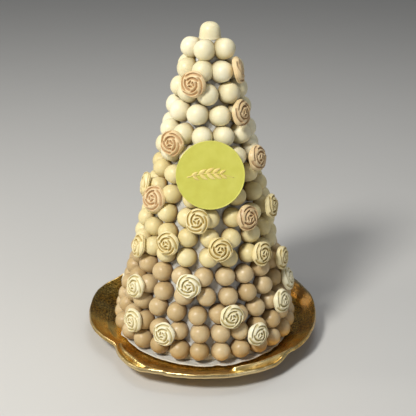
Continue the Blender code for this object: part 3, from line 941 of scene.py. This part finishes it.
def makeBrass():
    # cast brass, lacquered brown, brushed round the bowl, rubbed bright on lips and folds with painted
    # highlights there, and a painted silvery reflection on the back wall and front edge
    look = brassLook
    material, tree, shader, place = startMaterial("antiquedBrass")
    # the map runs round the dish, then across its wall
    run = addNode(tree, "ShaderNodeUVMap", uv_map="brushed")
    stretch = (1 / look["streakLength"], 1 / look["streak"], 1)
    along = addNode(tree, "ShaderNodeMapping", {"Vector": run, "Scale": stretch})
    streaks = addNode(tree, "ShaderNodeTexNoise",
                      {"Vector": along, "Scale": 1.0, "Detail": 4.0, "Roughness": 0.65}, "Fac")
    clouds = addNode(tree, "ShaderNodeTexNoise",
                     {"Vector": place, "Scale": 1 / look["cloud"], "Detail": 5.0, "Roughness": 0.6}, "Fac")
    specks, waves = (addNode(tree, "ShaderNodeTexNoise",
                             {"Vector": place, "Scale": 1 / look[size], "Detail": 2.0}, "Fac")
                     for size in ("speck", "wave"))
    dark, wearAndHighlight, paintedReflection = (addNode(tree, "ShaderNodeAttribute", out="Fac", attribute_name=label)
                          for label in ("patina", "wearAndHighlight", "paintedReflection"))
    blend = addNode(tree, "ShaderNodeMath", [streaks, look["streakWeight"], clouds],
                    operation="MULTIPLY_ADD")
    golden, speckled, rub, rough = (
        addNode(tree, "ShaderNodeMapRange", [source, *look[limits]])
        for source, limits in ((blend, "goldRange"), (specks, "speckRange"),
                               (specks, "rubRange"), (streaks, "roughRange")))
    darkness, rubAndHighlight = (
        addNode(tree, "ShaderNodeMath", terms, operation="MULTIPLY", use_clamp=True)
        for terms in ((dark, speckled), (wearAndHighlight, rub)))
    # golden on brown, then patina, the painted silvery reflection, and rubbed metal with its painted
    # highlights, each over what is there
    metal = linear(look["brown"])
    for share, over in ((golden, "gold"), (darkness, "patina"), (paintedReflection, "paintedReflection"), (rubAndHighlight, "wearAndHighlight")):
        metal = addNode(tree, "ShaderNodeMix", {0: share, 6: metal, 7: linear(look[over])}, 2,
                        data_type="RGBA")
    finishMaterial(tree, shader, look,
                   {"waveBump": waves, "streakBump": streaks, "speckBump": specks},
                   {"Base Color": metal, "Roughness": rough, "Metallic": 1.0})
    return material


brass = makeBrass()
dishForm = {  # lengths in mm, angles in degrees
    "floor": 13.7,
    "thick": 2.0,
    "band": 4.6,  # height of the lip's outer edge
    # angle and radius of the lip, petal by petal
    "lip": ((-53, 144.5), (-51, 147.5), (-44, 154.5), (-37, 160.5), (-30, 164.5), (-23, 164),
            (-16, 161.5), (8, 160), (22, 157), (30, 155), (40, 151.5), (49, 147.5), (60, 149.5),
            (76, 151), (92, 155), (106, 159), (118, 158), (135, 163), (160, 163), (190, 164),
            (215, 163), (231, 159), (240, 168), (247, 169), (258, 164), (271, 160), (284, 156.5),
            (292, 153.5), (299, 149), (307, 144.5)),
    # angle and height of the lip
    "heights": ((-53, 27), (-50, 25), (-38, 25), (-26, 27.5), (10, 28), (24, 26), (38, 24.5), (46, 26),
                (50, 28.5), (84, 28.5), (92, 31), (105, 38), (120, 43), (150, 43), (200, 42), (225, 40),
                (231, 37), (236, 31), (245, 28.5), (307, 28)),
    # angles over which each is rounded, then height, fineness and layer of its unevenness
    "rounding": {"lip": ((-2, -1, 0, 1, 2), ((0.5, 9, 1.3),)),
                 "heights": ((-2, 0, 2), ((0.5, 6, 5.2), (0.35, 17, 2.2)))},
    # angle, and breadth of the wall between the floor's crease and the lip
    "walls": ((-53, 20), (-30, 32), (0, 34), (30, 32), (49, 29), (72, 33), (80, 25), (88, 22), (99, 22),
              (112, 10), (125, 9), (200, 11), (225, 10), (235, 20), (250, 27), (270, 25), (307, 20)),
    "wallCurve": (0.62, 0.38),  # straight and curved shares of its rise
    # a petal's end runs in over its neighbour: angle, radius, crest height
    "folds": (
        ((-56, 133, 18), (-54, 136.5, 23.5), (-50, 142, 26), (-46, 145, 26.8), (-41, 147.5, 27.2),
         (-36, 151.5, 27.5), (-30, 157, 27.8), (-24, 161, 28.2), (-18, 161, 28.2)),
        ((14, 141, 19), (15.5, 143, 25.5), (20, 144.5, 27.5), (26, 146.5, 28.2), (34, 145.5, 28.8),
         (41, 145.5, 29), (46, 146.5, 29), (52, 148, 28.6)),
    ),
    "foldInset": 0.8,  # a crest keeps this far inside the lip
    "foldSoft": (2.3, 4.2),  # how a fold falls away outwards and inwards
    "foldWearAndHighlight": (1.8, 19, 25),  # rubbed crest with a painted highlight: width, and crest heights over which it begins
    # between a fold and the lip: depth, width, share of the way over, rooms and crests to begin at
    "channel": (2.6, 2.4, 0.55, (4.0, 8.0), (17, 24)),
    "steps": ((-53, 7, 2.2), (118, 8, 1.5)),  # where a petal starts lower: angle, spread, drop
    "stepReach": 1.05,  # against the wall
    "lipWearAndHighlight": 1.2,  # width of the rubbed edge, painted brighter as a highlight
    "rubAndHighlight": (0.3, 0.6),  # wear everywhere, and a painted highlight further in front
    # angles where the painted highlight on the lip is stronger, in front
    "frontHighlight": (-84, -66, 46, 60),
    "inner": 46.0,  # from the lip in to the fine rings
    "rimStart": 0.9,  # from the fine rings to the lip
    # over the lip and down its edge: out, drop, further drop in bands, how worn and painted bright as a
    # highlight
    "rim": ((-0.35, 0.2, 0.0, 1.0), (0.0, 0.8, 0.0, 0.9), (0.7, 0.0, 0.55, 0.2), (1.2, 0.0, 0.9, 0.5),
            (0.6, 0.0, 1.1, 0.1)),
    # underside: start inside the lip, end inside the wall's foot, drop in thicknesses, depth in bands
    "under": (1.5, 4.0, 0.7, 1.25),
    "bottomRings": (0.75, 0.5, 0.25, 0.0),
    "around": 480,
    "floorRings": 8,
    "rimRings": 44,
    "underRings": 12,
    "mapLength": 0.95,  # metres round the dish in the brushed map
}
dishAge = {
    # angles between which each kind of ageing, painted reflection and painted shade rises and falls
    "left": (80, 94, 122, 132),  # counted leftwards
    "cleaned": (52, 62, 84, 92),  # counted leftwards
    "right": (60, 80, 104, 122),
    "front": (-60, -46, 24, 44),
    "back": (98, 112),
    "backWall": (0.05, 0.5),  # shares of the way up the wall
    "crease": (0.02, 0.22),
    # how dark: everywhere, in the crease, left, right
    "dark": (0.05, 0.5, 0.85, 0.75),
    "cleanedShare": 0.85,
    # how much patina the painted reflection on the back wall clears away
    "backLighter": 0.6,
    "backReflection": 0.8,
    "underPaintedShade": (0.8, 0.4),  # painted shade under the dish, and how much less in front
    "edgeReflection": 0.55,
}


def alongLip(stations, degrees):
    start = stations[0][0]
    turned = (degrees - start) % 360.0 + start
    angles, values = zip(*(stations + ((start + 360.0, stations[0][1]),)))
    return float(np.interp(turned, angles, values))


def rounded(kind, degrees):
    steps, uneven = dishForm["rounding"][kind]
    value = sum(alongLip(dishForm[kind], degrees + step) for step in steps) / len(steps)
    for height, fineness, layer in uneven:
        value += height * ringNoise(degrees, fineness, layer)
    return value


def wallRise(degrees, radii):  # the plain bowl: share of the way up the wall, and height
    wide = alongLip(dishForm["walls"], degrees)
    straight, curved = dishForm["wallCurve"]
    t = np.clip((radii - (rounded("lip", degrees) - wide)) / wide, 0.0, 1.0)
    climb = rounded("heights", degrees) - dishForm["floor"]
    return t, dishForm["floor"] + climb * (straight * t + curved * t * t)


def dishSurface(degrees, radii):
    # across one cut of the bowl: heights, wear with painted highlights, and share of the way up the wall
    form = dishForm
    lip = rounded("lip", degrees)
    t, z = wallRise(degrees, radii)
    for at, spread, drop in form["steps"]:
        past = anglePast(degrees, at)
        if past > 0:
            z = z - drop * exp(-past / spread) * np.sin(np.pi * np.clip(t * form["stepReach"], 0, 1))
    always, further = form["rubAndHighlight"]
    rubAndHighlight = always + further * plateau(form["frontHighlight"], degrees)
    # the lip: wear and a painted highlight, stronger in front
    wearAndHighlight = rubAndHighlight * np.exp(-((lip - radii) / form["lipWearAndHighlight"]) ** 2)
    for fold in form["folds"]:
        angles, crests, heights = zip(*fold)
        if angles[0] <= degrees <= angles[-1]:
            crest, top = np.interp(degrees, angles, crests), np.interp(degrees, angles, heights)
            away = radii - min(crest, lip - form["foldInset"])
            outer, inner = form["foldSoft"]
            ridge = np.exp(-(np.abs(away) / np.where(away > 0, outer, inner)) ** 2)
            z = z + np.maximum(0.0, top - z) * ridge
            deep, width, middle, rooms, tops = form["channel"]
            room = lip - crest
            sunk = np.exp(-((away - middle * room) / width) ** 2) * smoothStep(*rooms, room)
            z = z - deep * sunk * smoothStep(*tops, top)
            width, low, high = form["foldWearAndHighlight"]
            # fold crests: wear and a painted highlight
            wearAndHighlight = np.maximum(wearAndHighlight, np.exp(-(away / width) ** 2) * smoothStep(low, high, top))
    return z, wearAndHighlight, t, rubAndHighlight


def dishColumn(degrees):
    # one cut, from the middle of the bowl over the lip and back underneath
    form = dishForm
    lip, floorRings = rounded("lip", degrees), form["floorRings"]
    inner = lip - form["inner"]
    radii = np.concatenate((inner * (np.arange(floorRings) / floorRings),
                            np.linspace(inner, lip - form["rimStart"], form["rimRings"])))
    z, wearAndHighlight, t, rubAndHighlight = dishSurface(degrees, radii)
    column, wearAndHighlight, top = list(zip(radii, z)), list(wearAndHighlight), z[-1]
    for out, drop, share, wearAndSheen in form["rim"]:
        column.append((lip + out, top - drop - share * form["band"]))
        wearAndHighlight.append(rubAndHighlight * wearAndSheen)
    start, past, drop, depth = form["under"]
    end = lip - alongLip(form["walls"], degrees) - past
    radii = np.linspace(lip - start, end, form["underRings"])
    under = wallRise(degrees, radii - form["thick"])[1] - drop * form["thick"]
    bottom = form["floor"] - form["thick"]
    for r, h in zip(radii, under):
        column.append((r, max(bottom, min(h, top - depth * form["band"]))))
    column[-1] = (end, bottom)
    column += [(end * share, bottom) for share in form["bottomRings"]]
    return column, wearAndHighlight + [0.0] * (len(column) - len(wearAndHighlight)), t


def dishTones(degrees, share, onTop, edge):
    # how dark with patina and painted shade, and how much painted silvery reflection, by place
    age = dishAge
    # underneath: painted shade, less in front, where the outer edge gets a painted reflection
    if not onTop:
        front = float(plateau(age["front"], degrees))
        dark, less = age["underPaintedShade"]
        return dark - less * front, age["edgeReflection"] * front if edge else 0.0
    plain, crease, left, right = age["dark"]
    sunk = 1 - smoothStep(*age["crease"], share)
    sunk = sunk * (1 - age["cleanedShare"] * plateau(age["cleaned"], -degrees))
    dark = plain + crease * sunk + left * plateau(age["left"], -degrees)
    dark = float(dark + right * plateau(age["right"], degrees))
    # painted reflection: the back wall, seen face on, silvery and with less patina higher up the wall
    back = float(smoothStep(*age["back"], degrees) * smoothStep(*age["backWall"], share))
    return min(1.0, dark * (1 - age["backLighter"] * back)), age["backReflection"] * back


def mapBrushing(mesh, column):  # the map of the brushed streaks, in metres
    around, length = dishForm["around"], dishForm["mapLength"]
    layer = mesh.uv_layers.new(name="brushed")
    travel = np.concatenate(([0], np.cumsum(np.hypot(*np.diff(np.array(column), axis=0).T)))) * mm
    for loop in mesh.loops:
        j, k = divmod(loop.vertex_index, around)
        layer.data[loop.index].uv = (k / around * length, travel[j])
    for polygon in mesh.polygons:  # no running backwards over the seam
        corners = [layer.data[i] for i in polygon.loop_indices]
        across = [corner.uv[0] for corner in corners]
        if max(across) - min(across) > length / 2:
            for corner in corners:
                if corner.uv[0] < length / 2:
                    corner.uv = (corner.uv[0] + length, corner.uv[1])


def makeDish():
    form = dishForm
    around, topCount = form["around"], form["floorRings"] + form["rimRings"]
    angles = [anglePast(degrees, 0.0) for degrees in ringAngles(around)]
    cuts = [dishColumn(degrees) for degrees in angles]
    length = len(cuts[0][0])
    points, wearAndHighlight, patina, paintedReflection = [], [], [], []
    for j in range(length):
        onTop, edge = j < topCount, topCount < j <= topCount + len(form["rim"])
        for degrees, (column, wearAndSheen, shares) in zip(angles, cuts):
            points.append(polar(column[j][0], degrees, column[j][1]) * mm)
            dark, reflectionShare = dishTones(degrees, shares[j] if onTop else 1.0, onTop, edge)
            wearAndHighlight.append(wearAndSheen[j])
            patina.append(dark)
            paintedReflection.append(reflectionShare)
    attributes = {"wearAndHighlight": wearAndHighlight, "patina": patina, "paintedReflection": paintedReflection}
    dish = meshObject("petalDish", points, closeGrid(length, around), attributes)
    mapBrushing(dish.data, cuts[0][0])
    settleMesh(dish)
    enlist(dish, "aged_brass", ["dish"], brass)
    nodes["dish_foot"].data.materials[0] = brass


makeDish()
print("dish raised")

for piece, (stoodFor, finish) in pieces.items():
    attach(piece, "root")
    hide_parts(*stoodFor)
